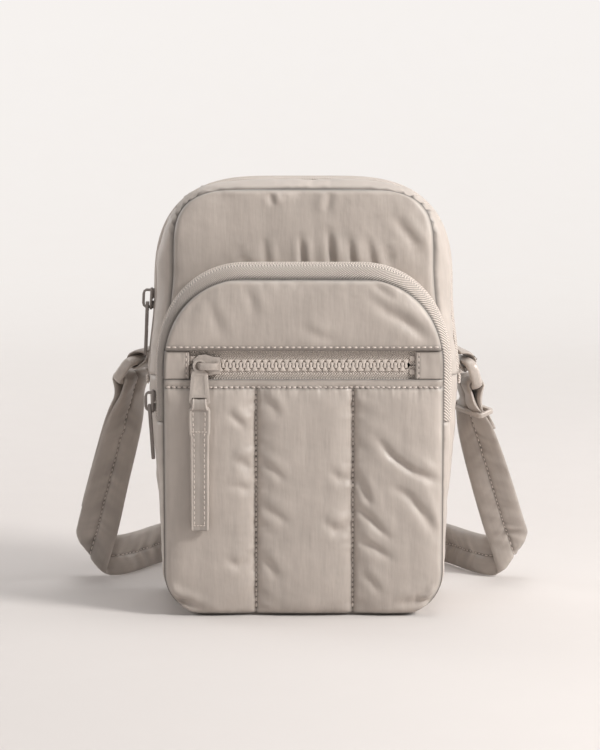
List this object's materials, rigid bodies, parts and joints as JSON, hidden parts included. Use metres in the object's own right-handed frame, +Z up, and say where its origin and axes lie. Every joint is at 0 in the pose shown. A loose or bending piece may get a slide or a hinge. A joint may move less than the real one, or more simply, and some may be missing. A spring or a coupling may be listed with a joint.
{
  "type": "crossbody bag",
  "caption": "Small upright padded crossbody bag with an arched top zip, a quilted zipped front pocket, and a flat shoulder strap on moulded side rings.",
  "frame": {"origin": "on the floor at the bag's middle line, on the flat underside of the main gusset, 34 mm behind the pocket's front seam", "axes": "+X to the right of someone facing the bag's front, +Y from the front towards the back, +Z up"},
  "size_m": [0.2458, 0.1559, 0.2187],
  "materials": {
    "nylon": "smooth padded nylon",
    "nylon_gusset": "smooth nylon",
    "lining": "thin plain lining",
    "zip_tape": "herringbone zip tape",
    "coil_tape": "zip tape with a sewn coil",
    "moulded_teeth": "moulded teeth on woven tape",
    "strap_nylon": "flat nylon strap",
    "pull_tab_nylon": "flat nylon tape",
    "ring_coat": "satin moulded",
    "cast_slider": "satin painted die cast",
    "dark_slider": "dark satin die cast"
  },
  "bodies": {
    "bag": {"rear_panel": "nylon", "main_front_panel": "nylon", "main_gusset": "nylon_gusset", "main_zip_strip_front": "nylon_gusset", "main_zip_strip_rear": "nylon_gusset", "main_zip_front_coil": "coil_tape", "main_zip_rear_coil": "coil_tape", "main_zip_end_bar_left": "nylon_gusset", "main_zip_end_bar_right": "nylon_gusset", "pocket_gusset": "nylon_gusset", "pocket_zip_band": "zip_tape", "pocket_zip_front_coil": "coil_tape", "pocket_zip_rear_coil": "coil_tape", "pocket_zip_strip_rear": "nylon_gusset", "pocket_upper_panel": "nylon", "quilted_lower_panel": "nylon", "zip_end_patch_left": "nylon", "zip_end_patch_right": "nylon", "front_zip_upper_chain": "moulded_teeth", "front_zip_lower_chain": "moulded_teeth", "zip_pouch": "lining", "strap_tab_left": "strap_nylon", "strap_tab_right": "strap_nylon", "strap_fall_left": "strap_nylon", "strap_fall_right": "strap_nylon", "strap_stored": "strap_nylon", "strap_adjuster": "ring_coat"},
    "front_slider": {"front_zip_slider": "cast_slider"},
    "front_puller": {"front_zip_puller": "cast_slider"},
    "front_tab": {"front_zip_pull_tab": "pull_tab_nylon"},
    "main_slider": {"main_zip_slider": "dark_slider"},
    "main_puller": {"main_zip_puller": "dark_slider"},
    "pocket_slider": {"pocket_zip_slider": "dark_slider"},
    "pocket_puller": {"pocket_zip_puller": "dark_slider"},
    "left_ring": {"strap_ring_left": "ring_coat"},
    "right_ring": {"strap_ring_right": "ring_coat"}
  },
  "joints": [
    {"name": "front_zip_slide", "type": "slide", "parent": "bag", "child": "front_slider", "axis": [1, 0, 0], "range_m": [0, 0.0935], "deforming": ["front_zip_upper_chain", "front_zip_lower_chain"]},
    {"name": "front_puller_swing", "type": "hinge", "parent": "front_slider", "child": "front_puller", "pos_m": [-0.05155, -0.0359, 0.1265], "axis": [0, 1, 0], "range_deg": [-45, 75]},
    {"name": "front_tab_lift", "type": "hinge", "parent": "front_puller", "child": "front_tab", "pos_m": [-0.05155, -0.03916, 0.10799], "axis": [-1, 0, 0], "range_deg": [0, 90]},
    {"name": "main_zip_slide", "type": "slide", "parent": "bag", "child": "main_slider", "axis": [0.0867, 0, 0.9962], "range_m": [-0.03, 0.012], "deforming": ["main_zip_front_coil", "main_zip_rear_coil"]},
    {"name": "main_puller_swing", "type": "hinge", "parent": "main_slider", "child": "main_puller", "pos_m": [-0.08021, 0.0147, 0.15352], "axis": [0, 1, 0], "range_deg": [0, 110]},
    {"name": "pocket_zip_slide", "type": "slide", "parent": "bag", "child": "pocket_slider", "axis": [0, 0, 1], "range_m": [-0.003, 0.02], "deforming": ["pocket_zip_front_coil", "pocket_zip_rear_coil"]},
    {"name": "pocket_puller_swing", "type": "hinge", "parent": "pocket_slider", "child": "pocket_puller", "pos_m": [-0.07747, -0.01985, 0.10463], "axis": [0, 1, 0], "range_deg": [0, 110]},
    {"name": "left_ring_swing", "type": "hinge", "parent": "bag", "child": "left_ring", "pos_m": [-0.08317, 0.03091, 0.12286], "axis": [0.5, 0.866, 0], "range_deg": [-15, 40], "deforming": ["strap_fall_left"]},
    {"name": "right_ring_swing", "type": "hinge", "parent": "bag", "child": "right_ring", "pos_m": [0.08297, 0.03246, 0.12197], "axis": [0.2588, -0.9659, 0], "range_deg": [-10, 40], "deforming": ["strap_fall_right"]}
  ]
}
